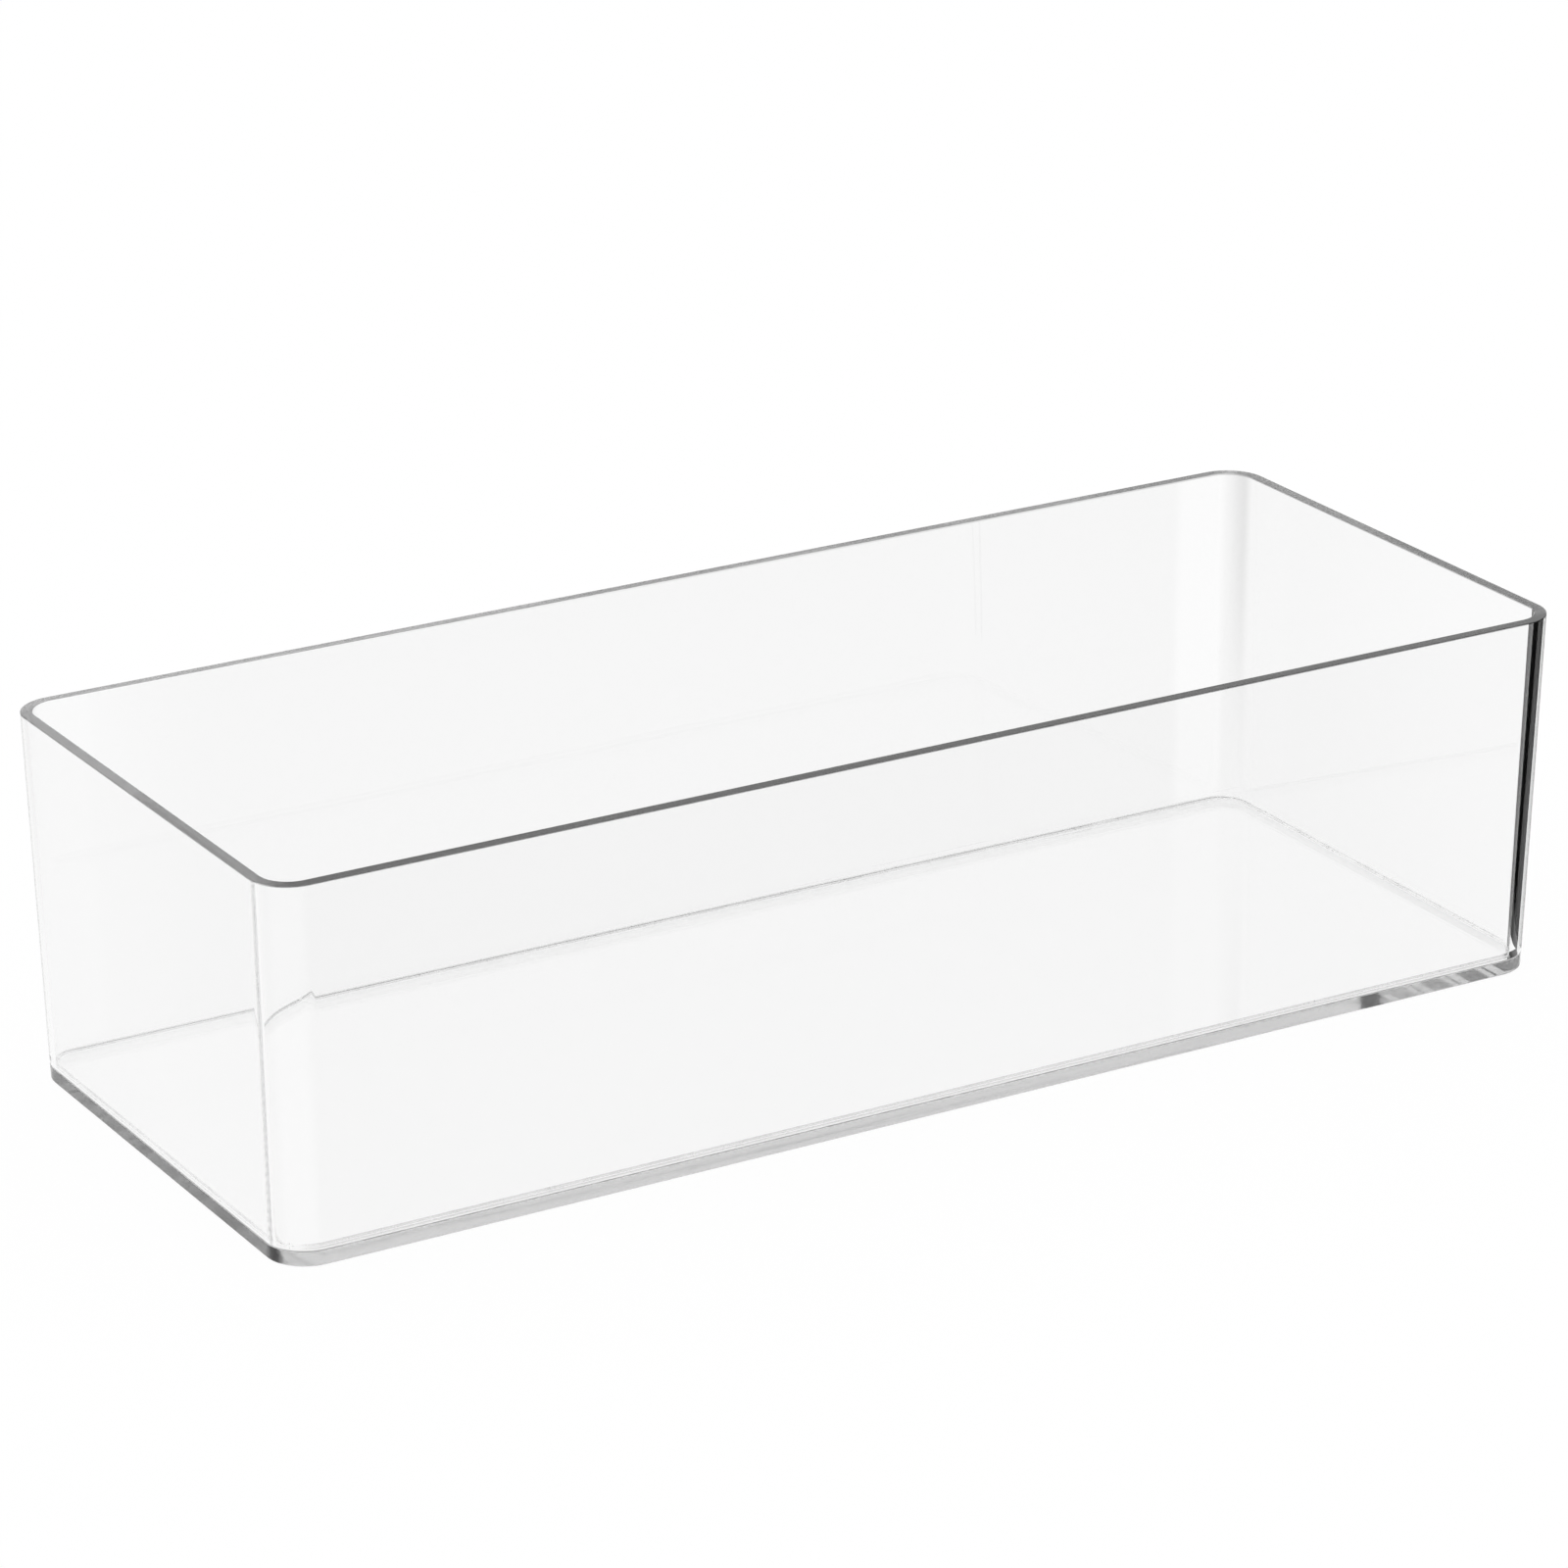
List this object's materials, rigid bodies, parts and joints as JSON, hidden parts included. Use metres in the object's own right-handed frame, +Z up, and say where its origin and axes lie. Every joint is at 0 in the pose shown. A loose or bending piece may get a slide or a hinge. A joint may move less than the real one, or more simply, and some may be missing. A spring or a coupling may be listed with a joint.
{
  "type": "display tray",
  "caption": "Clear open-topped oblong display tray for medals or keepsakes, with rounded corners, thin walls that lean in slightly and a flat base plate.",
  "frame": {"origin": "middle of the tray's footprint, at the level of the surface that it stands on", "axes": "+X along the tray's length, +Y across it from front to back, +Z up through the open top"},
  "size_m": [0.302, 0.1204, 0.08],
  "materials": {
    "clear_wall": "clear, colourless, polished",
    "clear_plate": "clear, colourless, polished",
    "cured_cement": "clear, slightly hazy"
  },
  "bodies": {
    "root": {"wall_ring": "clear_wall", "base_plate": "clear_plate", "cement_bead": "cured_cement"}
  },
  "joints": []
}
